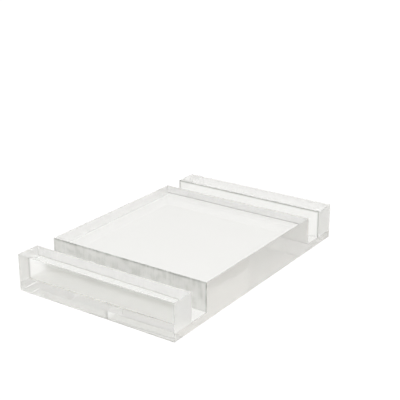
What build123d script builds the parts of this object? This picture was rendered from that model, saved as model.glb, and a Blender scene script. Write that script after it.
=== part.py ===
from build123d import *
import os

# Phone stand of clear cast acrylic, built up from four pieces bonded face to face: a base
# plate runs the full length, and a front rail, a wide centre block and a rear rail stand
# on it. The gaps between them are two slots, open at the top and at both ends. The front
# slot holds a pen, and the rear slot holds a phone on its long edge, leaning back on the
# rear rail. After bonding, the outer faces are polished flush as one block, so their edges
# are broken. The polisher can't reach the walls of the slots, which stay as sawn.
#
# Frame: millimetres, +X to the right, +Y towards the phone, +Z up.
# The origin is the centre of the resting face.

stand_width = 87.5
base_thickness = 4.0
block_height = 14.0
rail_depth = 12.5
slot_width = 11.0
centre_depth = 91.0
edge_break = 0.4

stand_depth = 2 * rail_depth + 2 * slot_width + centre_depth
slot_offset = (centre_depth + slot_width) / 2
rail_offset = (centre_depth + rail_depth) / 2 + slot_width


def make_base_plate():
    """The full-length plate. Its corners and bottom edges are broken, and its top at the slot ends."""
    plate = Box(stand_width, stand_depth, base_thickness, align=resting)
    top_edges = plate.faces().sort_by(Axis.Z)[-1].edges()
    plate = chamfer(plate.edges() - top_edges, edge_break)
    for slot_y in (-slot_offset, slot_offset):
        for side in (-1, 1):
            plate -= make_slot_end_break(side, slot_y)
    return plate


def make_slot_end_break(side, slot_y):
    """The bar cut from the base plate's top edge across one open end of a slot."""
    bar = extrude(Plane.XZ * RegularPolygon(edge_break, 4), slot_width / 2, both=True)
    return Pos(side * stand_width / 2, slot_y, base_thickness) * bar


def make_bonded_block(depth, middle_y):
    """A block on the base plate. Every edge is broken but those of its bonded bottom face."""
    block = Box(stand_width, depth, block_height, align=resting)
    bonded_edges = block.faces().sort_by(Axis.Z)[0].edges()
    block = chamfer(block.edges() - bonded_edges, edge_break)
    return Pos(0, middle_y, base_thickness) * block


resting = (Align.CENTER, Align.CENTER, Align.MIN)

pieces = {
    "base_plate": make_base_plate(),
    "front_rail": make_bonded_block(rail_depth, -rail_offset),
    "centre_block": make_bonded_block(centre_depth, 0),
    "rear_rail": make_bonded_block(rail_depth, rail_offset),
}

os.makedirs("parts", exist_ok=True)
for name, piece in pieces.items():
    export_step(piece, f"parts/{name}.step")
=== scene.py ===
import bpy
import bmesh
import math
from mathutils import Matrix, Vector


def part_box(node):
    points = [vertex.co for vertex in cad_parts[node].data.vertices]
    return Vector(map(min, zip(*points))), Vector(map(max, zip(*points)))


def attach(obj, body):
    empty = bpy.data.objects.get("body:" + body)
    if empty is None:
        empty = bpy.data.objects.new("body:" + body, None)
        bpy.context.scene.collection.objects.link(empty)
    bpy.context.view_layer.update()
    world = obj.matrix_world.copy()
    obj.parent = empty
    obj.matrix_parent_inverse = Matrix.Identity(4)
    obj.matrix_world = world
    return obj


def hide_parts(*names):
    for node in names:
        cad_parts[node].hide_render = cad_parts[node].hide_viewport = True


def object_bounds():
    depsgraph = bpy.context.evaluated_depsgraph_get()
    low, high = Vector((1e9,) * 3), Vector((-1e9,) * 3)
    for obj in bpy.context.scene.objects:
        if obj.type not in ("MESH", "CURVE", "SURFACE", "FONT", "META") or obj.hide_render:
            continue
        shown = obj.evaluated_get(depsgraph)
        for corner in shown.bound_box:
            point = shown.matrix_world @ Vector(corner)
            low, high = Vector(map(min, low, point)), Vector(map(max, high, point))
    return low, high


# a clear acrylic phone stand: a plate with three blocks bonded on it, sawn inside its slots
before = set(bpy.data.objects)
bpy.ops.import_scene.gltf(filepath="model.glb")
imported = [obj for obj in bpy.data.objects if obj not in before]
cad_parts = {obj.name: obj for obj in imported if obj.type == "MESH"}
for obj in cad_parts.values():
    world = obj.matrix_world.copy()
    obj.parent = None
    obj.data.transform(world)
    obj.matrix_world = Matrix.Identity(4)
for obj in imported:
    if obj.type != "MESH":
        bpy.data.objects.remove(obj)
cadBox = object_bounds()
scene = bpy.context.scene
mm = 0.001

# where the two slots start and end, from front to rear
penSlot = (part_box("front_rail")[1].y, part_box("centre_block")[0].y)
phoneSlot = (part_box("centre_block")[1].y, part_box("rear_rail")[0].y)


def hexColour(code):
    # sRGB hex to the linear colour that shaders take
    values = [int(code[i:i + 2], 16) / 255 for i in (0, 2, 4)]
    linear = [v / 12.92 if v <= 0.04045 else ((v + 0.055) / 1.055) ** 2.4 for v in values]
    return (*linear, 1.0)


def addNode(tree, kind, settings=None, **inputs):
    # one node with its settings, input values and links; an input's key is its name, with _ for a space,
    # or its number after "in"
    node = tree.nodes.new(kind)
    for key, value in (settings or {}).items():
        setattr(node, key, value)
    for key, value in inputs.items():
        isNumber = key.startswith("in") and key[2:].isdigit()
        socket = node.inputs[int(key[2:]) if isNumber else key.replace("_", " ")]
        if isinstance(value, bpy.types.NodeSocket):
            tree.links.new(value, socket)
        else:
            socket.default_value = value
    return node


def newMaterial(name):
    material = bpy.data.materials.new(name)
    material.use_nodes = True
    material.node_tree.nodes.clear()
    return material, material.node_tree


polish = {
    "ior": 1.49,               # cast acrylic
    "milk": "F0F0EE",          # the white of light that stops in fine scratches
    "hazeSize": 9 * mm,
    "hazeStart": 0.35,         # the stretch of the noise over which the haze grows
    "hazeEnd": 0.75,
    "hazeDetail": 3.0,
    "waviness": 0.004 * mm,    # how far the polisher leaves the faces from flat
    "wavinessSize": 14 * mm,
    "wavinessDetail": 1.0,
}

# a trace of warm grey stands for the body of the acrylic; the long ends get a greyer tint, partly as they are
# seen through the stand's whole width and partly as painted shade of the stand's darker sides, and all ends
# get some milk, as from fine scratches, set for each kind
clearFace = {"tint": "F3F3F1", "hazeLow": 0.0, "hazeHigh": 0.012, "milkShare": 0.0}
longEndPaintedShade = {"tint": "DAD8D2", "hazeLow": 0.12, "hazeHigh": 0.2, "milkShare": 0.2}
smallEnd = {"tint": "F3F3F1", "hazeLow": 0.12, "hazeHigh": 0.2, "milkShare": 0.4}


def letLightThrough(tree, surface):
    # light that falls on the table goes straight through, as the stand hardly shades it
    path = addNode(tree, "ShaderNodeLightPath")
    carriesLight = addNode(tree, "ShaderNodeMath", {"operation": "MAXIMUM"},
                           in0=path.outputs["Is Shadow Ray"], in1=path.outputs["Is Diffuse Ray"])
    clear = addNode(tree, "ShaderNodeBsdfTransparent", Color=(1, 1, 1, 1))
    mix = addNode(tree, "ShaderNodeMixShader", in0=carriesLight.outputs[0], in1=surface, in2=clear.outputs[0])
    addNode(tree, "ShaderNodeOutputMaterial", Surface=mix.outputs[0])


def polishedAcrylic(name, face):
    # PMMA, cast and then buffed: glass-clear, sharp reflections, the faintest haze, and some milk at the ends
    material, tree = newMaterial(name)
    place = addNode(tree, "ShaderNodeTexCoord").outputs["Object"]
    haze = addNode(tree, "ShaderNodeTexNoise", Vector=place, Scale=1 / polish["hazeSize"],
                   Detail=polish["hazeDetail"])
    roughness = addNode(tree, "ShaderNodeMapRange", in0=haze.outputs[0], in1=polish["hazeStart"],
                        in2=polish["hazeEnd"], in3=face["hazeLow"], in4=face["hazeHigh"])
    wave = addNode(tree, "ShaderNodeTexNoise", Vector=place, Scale=1 / polish["wavinessSize"],
                   Detail=polish["wavinessDetail"])
    bump = addNode(tree, "ShaderNodeBump", Strength=1.0, Distance=polish["waviness"], Height=wave.outputs[0])
    surface = addNode(tree, "ShaderNodeBsdfPrincipled", Base_Color=hexColour(face["tint"]),
                      Roughness=roughness.outputs[0], IOR=polish["ior"], Normal=bump.outputs[0],
                      Transmission_Weight=1.0)
    if face["milkShare"]:
        white = addNode(tree, "ShaderNodeBsdfDiffuse", Color=hexColour(polish["milk"]))
        surface = addNode(tree, "ShaderNodeMixShader", in0=face["milkShare"], in1=surface.outputs[0],
                          in2=white.outputs[0])
    letLightThrough(tree, surface.outputs[0])
    return material


sawCut = {
    "ior": 1.49,
    "tint": "F3F3F0",
    "rimPaintedShade": "747670",       # painted shade: dark along its top and ends, the outline that light bent at the wall's edges draws
    "rimStart": 0.3 * mm,
    "rimEnd": 1.2 * mm,
    "wallTop": cadBox[1][2],   # the walls reach up to the stand's top and out to its ends
    "wallHalf": cadBox[1][0],
    "powder": "E8E8E5",        # the white of acrylic torn by the teeth
    "powderGlow": 0.5,         # how much of the powder's light passes through it
    "powderLow": 0.04,
    "roughLow": 0.28,
    "roughHigh": 0.33,
    "roughStart": 0.3,         # the stretch of the pattern over which the roughness grows
    "roughEnd": 0.7,
    "cloudStart": 0.42,        # and the one over which dull turns to bright
    "cloudEnd": 0.6,
    "streakSize": 0.8 * mm,    # coarser than a real saw's, so that the streaks show
    "streakLength": 14 * mm,
    "streakDetail": 3.0,
    "streakShare": 0.5,        # how much of the pattern is streaks, the rest being blotches
    "blotchSize": 3 * mm,
    "blotchDetail": 1.0,
}

# the wall between the pen slot and the plateau is the cloudy one, the others are finer; its darker dull grey
# is partly painted shade inside the slot
coarseCutAndShade = {"dullTint": "D0D2CC", "powderHigh": 0.55, "bumpDepth": 0.004 * mm, "markDepth": 0.012 * mm}
fineCut = {"dullTint": "F2F2EF", "powderHigh": 0.07, "bumpDepth": 0.001 * mm, "markDepth": 0.003 * mm}


def sawnAcrylic(name, cut):
    # PMMA as the saw leaves it: frosted, with fine upright streaks and cloudy blotches between duller ones
    material, tree = newMaterial(name)
    place = addNode(tree, "ShaderNodeTexCoord").outputs["Object"]
    stretch = addNode(tree, "ShaderNodeMapping", Vector=place,
                      Scale=(1 / sawCut["streakSize"], 1 / sawCut["streakSize"], 1 / sawCut["streakLength"]))
    streak = addNode(tree, "ShaderNodeTexNoise", Vector=stretch.outputs[0], Scale=1.0,
                     Detail=sawCut["streakDetail"])
    blotch = addNode(tree, "ShaderNodeTexNoise", Vector=place, Scale=1 / sawCut["blotchSize"],
                     Detail=sawCut["blotchDetail"])
    both = addNode(tree, "ShaderNodeMix", {"data_type": "FLOAT"}, in0=sawCut["streakShare"],
                   in2=blotch.outputs[0], in3=streak.outputs[0])
    roughness = addNode(tree, "ShaderNodeMapRange", in0=both.outputs[0], in1=sawCut["roughStart"],
                        in2=sawCut["roughEnd"], in3=sawCut["roughLow"], in4=sawCut["roughHigh"])
    bump = addNode(tree, "ShaderNodeBump", Strength=1.0, Distance=cut["bumpDepth"], Height=streak.outputs[0])

    # the rim is where the wall's top or one of its ends is near; there the colour darkens into a painted
    # outline of shade
    at = addNode(tree, "ShaderNodeSeparateXYZ", in0=place).outputs
    below = addNode(tree, "ShaderNodeMath", {"operation": "SUBTRACT"}, in0=sawCut["wallTop"], in1=at[2])
    aside = addNode(tree, "ShaderNodeMath", {"operation": "ABSOLUTE"}, in0=at[0])
    inside = addNode(tree, "ShaderNodeMath", {"operation": "SUBTRACT"}, in0=sawCut["wallHalf"],
                     in1=aside.outputs[0])
    fromRim = addNode(tree, "ShaderNodeMath", {"operation": "MINIMUM"}, in0=below.outputs[0],
                      in1=inside.outputs[0])
    awayFromShadedRim = addNode(tree, "ShaderNodeMapRange", in0=fromRim.outputs[0], in1=sawCut["rimStart"],
                    in2=sawCut["rimEnd"])

    clouds = addNode(tree, "ShaderNodeMapRange", in0=both.outputs[0], in1=sawCut["cloudStart"],
                     in2=sawCut["cloudEnd"])
    mottled = addNode(tree, "ShaderNodeMix", {"data_type": "RGBA"}, in0=clouds.outputs[0],
                      in6=hexColour(cut["dullTint"]), in7=hexColour(sawCut["tint"]))
    # painted shade darkens the colour towards the rim
    tint = addNode(tree, "ShaderNodeMix", {"data_type": "RGBA"}, in0=awayFromShadedRim.outputs[0],
                   in6=hexColour(sawCut["rimPaintedShade"]), in7=mottled.outputs[2])
    body = addNode(tree, "ShaderNodeBsdfPrincipled", Base_Color=tint.outputs[2],
                   Roughness=roughness.outputs[0], IOR=sawCut["ior"], Normal=bump.outputs[0],
                   Transmission_Weight=1.0)
    white = addNode(tree, "ShaderNodeBsdfDiffuse", Color=hexColour(sawCut["powder"]))
    glow = addNode(tree, "ShaderNodeBsdfTranslucent", Color=hexColour(sawCut["powder"]))
    powder = addNode(tree, "ShaderNodeMixShader", in0=sawCut["powderGlow"], in1=white.outputs[0],
                     in2=glow.outputs[0])
    share = addNode(tree, "ShaderNodeMapRange", in0=clouds.outputs[0], in3=sawCut["powderLow"],
                    in4=cut["powderHigh"])
    surface = addNode(tree, "ShaderNodeMixShader", in0=share.outputs[0], in1=body.outputs[0],
                      in2=powder.outputs[0])
    letLightThrough(tree, surface.outputs[0])
    return material


bond = {
    "slotMiddle": -(penSlot[0] + penSlot[1]) / 2,  # both slots lie this far from the stand's middle
    "slotHalf": (penSlot[1] - penSlot[0]) / 2,
    "hairline": 0.4 * mm,
    "frontTint": "DADCD6",
    "rearPaintedShade": "7C7E78",      # painted shade: greyer, which draws the dark line that the phone standing in its slot throws
}


def bondedAcrylic():
    # PMMA softened by solvent and pressed together: the joint takes the block's own index, so it vanishes,
    # but for a hairline of cement that dried in the open, along the slots, darkened along the phone's slot by
    # painted shade of the phone
    material, tree = newMaterial("bondedAcrylic")
    place = addNode(tree, "ShaderNodeTexCoord").outputs["Object"]
    along = addNode(tree, "ShaderNodeSeparateXYZ", in0=place).outputs[1]
    mirrored = addNode(tree, "ShaderNodeMath", {"operation": "ABSOLUTE"}, in0=along)
    fromMiddle = addNode(tree, "ShaderNodeMath", {"operation": "SUBTRACT"}, in0=mirrored.outputs[0],
                         in1=bond["slotMiddle"])
    away = addNode(tree, "ShaderNodeMath", {"operation": "ABSOLUTE"}, in0=fromMiddle.outputs[0])
    hairline = addNode(tree, "ShaderNodeMapRange", {"interpolation_type": "SMOOTHSTEP"}, in0=away.outputs[0],
                       in1=bond["slotHalf"], in2=bond["slotHalf"] + bond["hairline"])
    isRear = addNode(tree, "ShaderNodeMath", {"operation": "GREATER_THAN"}, in0=along, in1=0.0)
    # the front hairline is cement, the rear one is darker with painted shade
    cementAndShade = addNode(tree, "ShaderNodeMix", {"data_type": "RGBA"}, in0=isRear.outputs[0],
                     in6=hexColour(bond["frontTint"]), in7=hexColour(bond["rearPaintedShade"]))
    colour = addNode(tree, "ShaderNodeMix", {"data_type": "RGBA"}, in0=hairline.outputs[0],
                     in6=cementAndShade.outputs[2], in7=(1, 1, 1, 1))
    clear = addNode(tree, "ShaderNodeBsdfTransparent", Color=colour.outputs[2])
    addNode(tree, "ShaderNodeOutputMaterial", Surface=clear.outputs[0])
    return material


polished = polishedAcrylic("polishedAcrylic", clearFace)
# the long ends' material, whose greyer tint is partly painted shade
buffedEndPaintedShade = polishedAcrylic("buffedAcrylicEnd", longEndPaintedShade)
railEnd = polishedAcrylic("buffedAcrylicRail", smallEnd)
sawn = sawnAcrylic("sawnAcrylic", coarseCutAndShade)
sawnFine = sawnAcrylic("fineSawnAcrylic", fineCut)
bonded = bondedAcrylic()
print("finishes ready")


edges = {
    "width": 0.2 * mm,         # the outer edges are crisp, only just broken
    "segments": 3,
    "sharp": math.radians(45),  # an edge that turns more than this is one of a block's own
    "bond": 0.01 * mm,         # the skin of cement between two bonded faces
}

sawMarks = {
    "pitch": 0.6 * mm,         # coarser than a real saw's, so that they show
    "rows": 6,
    "fade": 1.2 * mm,          # how far from the wall's borders they are at their full depth
    "slant": 0.06,             # how fast they change up the wall, against along it
    "perPitch": 0.5,           # how much of the noise's pattern falls in one pitch
    "detail": 2.0,
    "middle": 0.5,             # the noise's mean, so that they go both in and out
}

faces = {
    "rim": 0.499,              # of a block's size from its middle, which is just inside its face
    "facing": 0.5,             # a normal with more than this along an axis faces that way
}


def blockTree():
    # a block of a given size and centre, with saw marks on the walls that face a slot and a bonded underside
    tree = bpy.data.node_groups.new("sawnBlock", "GeometryNodeTree")
    tree.interface.new_socket("Geometry", in_out="OUTPUT", socket_type="NodeSocketGeometry")
    sockets = {"Size": "Vector", "Centre": "Vector", "Mark Pitch": "Float", "Front Depth": "Float",
               "Rear Depth": "Float", "Mark Slant": "Float", "Mark Fade": "Float", "Rows": "Int",
               "Seed": "Int", "Polished": "Material", "End": "Material", "Front Wall": "Material",
               "Rear Wall": "Material", "Bonded": "Material"}
    for label, kind in sockets.items():
        tree.interface.new_socket(label, in_out="INPUT", socket_type="NodeSocket" + kind)
    given = addNode(tree, "NodeGroupInput").outputs
    size = addNode(tree, "ShaderNodeSeparateXYZ", in0=given["Size"]).outputs
    columns = addNode(tree, "ShaderNodeMath", {"operation": "DIVIDE"}, in0=size[0], in1=given["Mark Pitch"])
    cube = addNode(tree, "GeometryNodeMeshCube", Size=given["Size"], in1=columns.outputs[0], in2=2,
                   in3=given["Rows"])
    placed = addNode(tree, "GeometryNodeTransform", Geometry=cube.outputs[0], Translation=given["Centre"])

    # the depth of the marks, which is nought away from the front and rear walls
    place = addNode(tree, "GeometryNodeInputPosition").outputs[0]
    position = addNode(tree, "ShaderNodeVectorMath", {"operation": "SUBTRACT"}, in0=place,
                       in1=given["Centre"]).outputs[0]
    at = addNode(tree, "ShaderNodeSeparateXYZ", in0=position).outputs
    rearRim = addNode(tree, "ShaderNodeMath", {"operation": "MULTIPLY"}, in0=size[1],
                      in1=faces["rim"]).outputs[0]
    atRear = addNode(tree, "ShaderNodeMath", {"operation": "GREATER_THAN"}, in0=at[1], in1=rearRim).outputs[0]
    frontRim = addNode(tree, "ShaderNodeMath", {"operation": "MULTIPLY"}, in0=rearRim, in1=-1.0).outputs[0]
    atFront = addNode(tree, "ShaderNodeMath", {"operation": "LESS_THAN"}, in0=at[1], in1=frontRim).outputs[0]
    rearDepth = addNode(tree, "ShaderNodeMath", {"operation": "MULTIPLY"}, in0=atRear,
                        in1=given["Rear Depth"]).outputs[0]
    wallDepth = addNode(tree, "ShaderNodeMath", {"operation": "MULTIPLY_ADD"}, in0=atFront,
                        in1=given["Front Depth"], in2=rearDepth).outputs[0]

    # the marks, which are noise drawn out up the wall
    perPitch = addNode(tree, "ShaderNodeMath", {"operation": "DIVIDE"}, in0=1.0,
                       in1=given["Mark Pitch"]).outputs[0]
    slant = addNode(tree, "ShaderNodeMath", {"operation": "MULTIPLY"}, in0=perPitch,
                    in1=given["Mark Slant"]).outputs[0]
    stretch = addNode(tree, "ShaderNodeCombineXYZ", in0=perPitch, in1=perPitch, in2=slant).outputs[0]
    scaled = addNode(tree, "ShaderNodeVectorMath", {"operation": "MULTIPLY"}, in0=position,
                     in1=stretch).outputs[0]
    noise = addNode(tree, "ShaderNodeTexNoise", {"noise_dimensions": "4D"}, Vector=scaled, W=given["Seed"],
                    Scale=sawMarks["perPitch"], Detail=sawMarks["detail"]).outputs[0]
    mark = addNode(tree, "ShaderNodeMath", {"operation": "SUBTRACT"}, in0=noise,
                   in1=sawMarks["middle"]).outputs[0]

    # they fade out before the wall's borders, whose edges stay straight
    reach = addNode(tree, "ShaderNodeVectorMath", {"operation": "ABSOLUTE"}, in0=position).outputs[0]
    half = addNode(tree, "ShaderNodeVectorMath", {"operation": "SCALE"}, in0=given["Size"],
                   Scale=0.5).outputs[0]
    inside = addNode(tree, "ShaderNodeVectorMath", {"operation": "SUBTRACT"}, in0=half, in1=reach).outputs[0]
    border = addNode(tree, "ShaderNodeSeparateXYZ", in0=inside).outputs
    nearest = addNode(tree, "ShaderNodeMath", {"operation": "MINIMUM"}, in0=border[0],
                      in1=border[2]).outputs[0]
    fade = addNode(tree, "ShaderNodeMapRange", in0=nearest, in2=given["Mark Fade"]).outputs[0]
    depth = addNode(tree, "ShaderNodeMath", {"operation": "MULTIPLY"}, in0=fade, in1=wallDepth).outputs[0]
    shift = addNode(tree, "ShaderNodeMath", {"operation": "MULTIPLY"}, in0=mark, in1=depth).outputs[0]
    offset = addNode(tree, "ShaderNodeCombineXYZ", in1=shift).outputs[0]
    marked = addNode(tree, "GeometryNodeSetPosition", Geometry=placed.outputs[0], Offset=offset)

    # every sharp edge is rounded but those of the bonded underside
    angle = addNode(tree, "GeometryNodeInputMeshEdgeAngle").outputs[0]
    sharp = addNode(tree, "ShaderNodeMath", {"operation": "GREATER_THAN"}, in0=angle,
                    in1=edges["sharp"]).outputs[0]
    lowRim = addNode(tree, "ShaderNodeMath", {"operation": "MULTIPLY"}, in0=size[2],
                     in1=-faces["rim"]).outputs[0]
    free = addNode(tree, "ShaderNodeMath", {"operation": "GREATER_THAN"}, in0=at[2], in1=lowRim).outputs[0]
    weight = addNode(tree, "ShaderNodeMath", {"operation": "MULTIPLY"}, in0=sharp, in1=free).outputs[0]
    weighted = addNode(tree, "GeometryNodeStoreNamedAttribute", {"data_type": "FLOAT", "domain": "EDGE"},
                       Geometry=marked.outputs[0], Name="bevel_weight_edge", Value=weight)
    plain = addNode(tree, "GeometryNodeRealizeInstances", Geometry=weighted.outputs[0])

    # the finish of each face goes by the way it faces
    outward = addNode(tree, "GeometryNodeInputNormal").outputs[0]
    normal = addNode(tree, "ShaderNodeSeparateXYZ", in0=outward).outputs
    facesFront = addNode(tree, "ShaderNodeMath", {"operation": "LESS_THAN"}, in0=normal[1],
                         in1=-faces["facing"]).outputs[0]
    facesRear = addNode(tree, "ShaderNodeMath", {"operation": "GREATER_THAN"}, in0=normal[1],
                        in1=faces["facing"]).outputs[0]
    sideways = addNode(tree, "ShaderNodeMath", {"operation": "ABSOLUTE"}, in0=normal[0]).outputs[0]
    facesEnd = addNode(tree, "ShaderNodeMath", {"operation": "GREATER_THAN"}, in0=sideways,
                       in1=faces["facing"]).outputs[0]
    facesDown = addNode(tree, "ShaderNodeMath", {"operation": "LESS_THAN"}, in0=normal[2],
                        in1=-faces["facing"]).outputs[0]
    shiny = addNode(tree, "GeometryNodeSetMaterial", Geometry=plain.outputs[0], Material=given["Polished"])
    ended = addNode(tree, "GeometryNodeSetMaterial", Geometry=shiny.outputs[0], Selection=facesEnd,
                    Material=given["End"])
    cutFront = addNode(tree, "GeometryNodeSetMaterial", Geometry=ended.outputs[0], Selection=facesFront,
                       Material=given["Front Wall"])
    cutRear = addNode(tree, "GeometryNodeSetMaterial", Geometry=cutFront.outputs[0], Selection=facesRear,
                      Material=given["Rear Wall"])
    joined = addNode(tree, "GeometryNodeSetMaterial", Geometry=cutRear.outputs[0], Selection=facesDown,
                     Material=given["Bonded"])
    addNode(tree, "NodeGroupOutput", Geometry=joined.outputs[0])
    return tree


def addBevel(piece):
    bevel = piece.modifiers.new("roundedEdges", "BEVEL")
    bevel.limit_method = "WEIGHT"
    bevel.width = edges["width"]
    bevel.segments = edges["segments"]
    bevel.use_clamp_overlap = True


def bakePiece(source, name, node):
    # the finished modifiers as a plain mesh, standing for its CAD node
    source.update_tag()
    evaluated = source.evaluated_get(bpy.context.evaluated_depsgraph_get())
    piece = bpy.data.objects.new(name, bpy.data.meshes.new_from_object(evaluated))
    piece.data.name = name
    if piece.data.materials[0] is None:  # the node tree's cube starts with an empty slot
        piece.data.materials.pop(index=0)
    bpy.data.objects.remove(source)
    scene.collection.objects.link(piece)
    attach(piece, "root")
    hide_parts(node)
    print(name, len(piece.data.polygons), "faces")


def sawnBlock(name, node, frontWall, rearWall, end, seed):
    low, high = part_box(node)
    low.z += edges["bond"]
    source = bpy.data.objects.new(name + "Source", bpy.data.meshes.new(name + "Source"))
    scene.collection.objects.link(source)
    modifier = source.modifiers.new("block", "NODES")
    modifier.node_group = blockGroup
    values = {"Size": high - low, "Centre": (low + high) / 2, "Mark Pitch": sawMarks["pitch"],
              "Front Depth": markDepth[frontWall], "Rear Depth": markDepth[rearWall],
              "Mark Slant": sawMarks["slant"], "Mark Fade": sawMarks["fade"], "Rows": sawMarks["rows"],
              "Seed": seed, "Polished": polished, "End": end, "Front Wall": frontWall,
              "Rear Wall": rearWall, "Bonded": bonded}
    for item in blockGroup.interface.items_tree:
        if item.in_out == "INPUT":
            modifier[item.identifier] = values[item.name]
    addBevel(source)
    bakePiece(source, name, node)


blockGroup = blockTree()
markDepth = {polished: 0.0, sawn: coarseCutAndShade["markDepth"], sawnFine: fineCut["markDepth"]}
sawnBlock("frontRail", "front_rail", polished, sawnFine, railEnd, 1)
sawnBlock("centreBlock", "centre_block", sawn, sawnFine, buffedEndPaintedShade, 2)
sawnBlock("rearRail", "rear_rail", sawnFine, polished, railEnd, 3)


def basePlate():
    # the plate is cut where the blocks end, so that its top is bonded under them and polished in the slots
    low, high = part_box("base_plate")
    form = bmesh.new()
    bmesh.ops.create_cube(form, size=1.0, matrix=Matrix.LocRotScale((low + high) / 2, None, high - low))
    for wall in penSlot + phoneSlot:
        bmesh.ops.bisect_plane(form, geom=form.verts[:] + form.edges[:] + form.faces[:],
                               plane_co=(0, wall, 0), plane_no=(0, 1, 0))

    def inSlot(y):
        return penSlot[0] < y < penSlot[1] or phoneSlot[0] < y < phoneSlot[1]

    finishes = [polished, bonded, buffedEndPaintedShade]
    for face in form.faces:
        if face.normal.z > faces["facing"] and not inSlot(face.calc_center_median().y):
            face.material_index = finishes.index(bonded)
        elif abs(face.normal.x) > faces["facing"]:
            face.material_index = finishes.index(buffedEndPaintedShade)
    weights = form.edges.layers.float.new("bevel_weight_edge")
    for edge in form.edges:
        middle = (edge.verts[0].co + edge.verts[1].co) / 2
        isSharp = edge.calc_face_angle() > edges["sharp"]
        isOpen = middle.z < high.z or inSlot(middle.y)
        edge[weights] = 1.0 if isSharp and isOpen else 0.0
    mesh = bpy.data.meshes.new("basePlateSource")
    form.to_mesh(mesh)
    form.free()
    for finish in finishes:
        mesh.materials.append(finish)
    source = bpy.data.objects.new("basePlateSource", mesh)
    scene.collection.objects.link(source)
    addBevel(source)
    bakePiece(source, "basePlate", "base_plate")


basePlate()
print("pieces ready")


studio = {
    "floorSize": 6.0,
    "floorSegments": 64,
    "floorGap": 0.3 * mm,      # the stand never sits quite air-tight
    "floor": "F4F4F4",
    "horizon": "DBDAD8",
    "sky": "FFFFFF",
    "horizonStrength": 1.0,
    "skyStrength": 1.4,
    "riseStart": 0.36,         # sine of the height at which the light starts to grow, and where it's full
    "riseEnd": 0.75,
}


def makeFloor():
    form = bmesh.new()
    bmesh.ops.create_circle(form, cap_ends=True, segments=studio["floorSegments"],
                            radius=studio["floorSize"] / 2)
    mesh = bpy.data.meshes.new("floor")
    form.to_mesh(mesh)
    form.free()
    mesh.transform(Matrix.Translation((0, 0, cadBox[0][2] - studio["floorGap"])))
    floor = bpy.data.objects.new("floor", mesh)
    scene.collection.objects.link(floor)
    # a laminate table top, matt and nearly white, which throws light up into the stand
    material, tree = newMaterial("mattLaminate")
    body = addNode(tree, "ShaderNodeBsdfDiffuse", Color=hexColour(studio["floor"]))
    addNode(tree, "ShaderNodeOutputMaterial", Surface=body.outputs[0])
    mesh.materials.append(material)


def makeWorld():
    # a bright ceiling over a greyer horizon, with a soft rise between them
    world = bpy.data.worlds.new("studio")
    scene.world = world
    world.use_nodes = True
    world.cycles.sampling_method = "NONE"  # light as smooth as this is found without aiming at it
    tree = world.node_tree
    tree.nodes.clear()
    way = addNode(tree, "ShaderNodeTexCoord").outputs["Generated"]
    height = addNode(tree, "ShaderNodeSeparateXYZ", in0=way).outputs[2]
    rise = addNode(tree, "ShaderNodeMapRange", {"interpolation_type": "SMOOTHSTEP"}, in0=height,
                   in1=studio["riseStart"], in2=studio["riseEnd"]).outputs[0]
    colour = addNode(tree, "ShaderNodeMix", {"data_type": "RGBA"}, in0=rise,
                     in6=hexColour(studio["horizon"]), in7=hexColour(studio["sky"])).outputs[2]
    strength = addNode(tree, "ShaderNodeMapRange", in0=rise, in3=studio["horizonStrength"],
                       in4=studio["skyStrength"]).outputs[0]
    light = addNode(tree, "ShaderNodeBackground", Color=colour, Strength=strength)
    addNode(tree, "ShaderNodeOutputWorld", Surface=light.outputs[0])


view = {
    "lens": 83.3,              # in millimetres, as is the sensor's width
    "sensor": 36.0,
    "azimuth": 34.463,         # degrees from the front towards the right, and above the table
    "elevation": 20.215,
    "distance": 512.2 * mm,
    "aim": Vector((-29.7, 56.44, 9.0)) * mm,
    "clipStart": 10 * mm,
}


def makeCamera():
    azimuth, elevation = math.radians(view["azimuth"]), math.radians(view["elevation"])
    towards = Vector((math.sin(azimuth) * math.cos(elevation), -math.cos(azimuth) * math.cos(elevation),
                      math.sin(elevation)))
    camera = bpy.data.objects.new("camera", bpy.data.cameras.new("camera"))
    camera.data.lens = view["lens"]
    camera.data.sensor_width = view["sensor"]
    camera.data.clip_start = view["clipStart"]
    camera.location = view["aim"] + towards * view["distance"]
    camera.rotation_euler = towards.to_track_quat("Z", "Y").to_euler()
    scene.collection.objects.link(camera)
    scene.camera = camera


makeFloor()
makeWorld()
makeCamera()
print("stage ready")

scene.view_settings.view_transform = "Standard"
# clear blocks one behind another need many bounces
scene.cycles.max_bounces = 32
scene.cycles.transmission_bounces = 32
scene.cycles.glossy_bounces = 16
scene.cycles.diffuse_bounces = 12
scene.cycles.transparent_max_bounces = 64
scene.cycles.caustics_reflective = True
scene.cycles.caustics_refractive = True
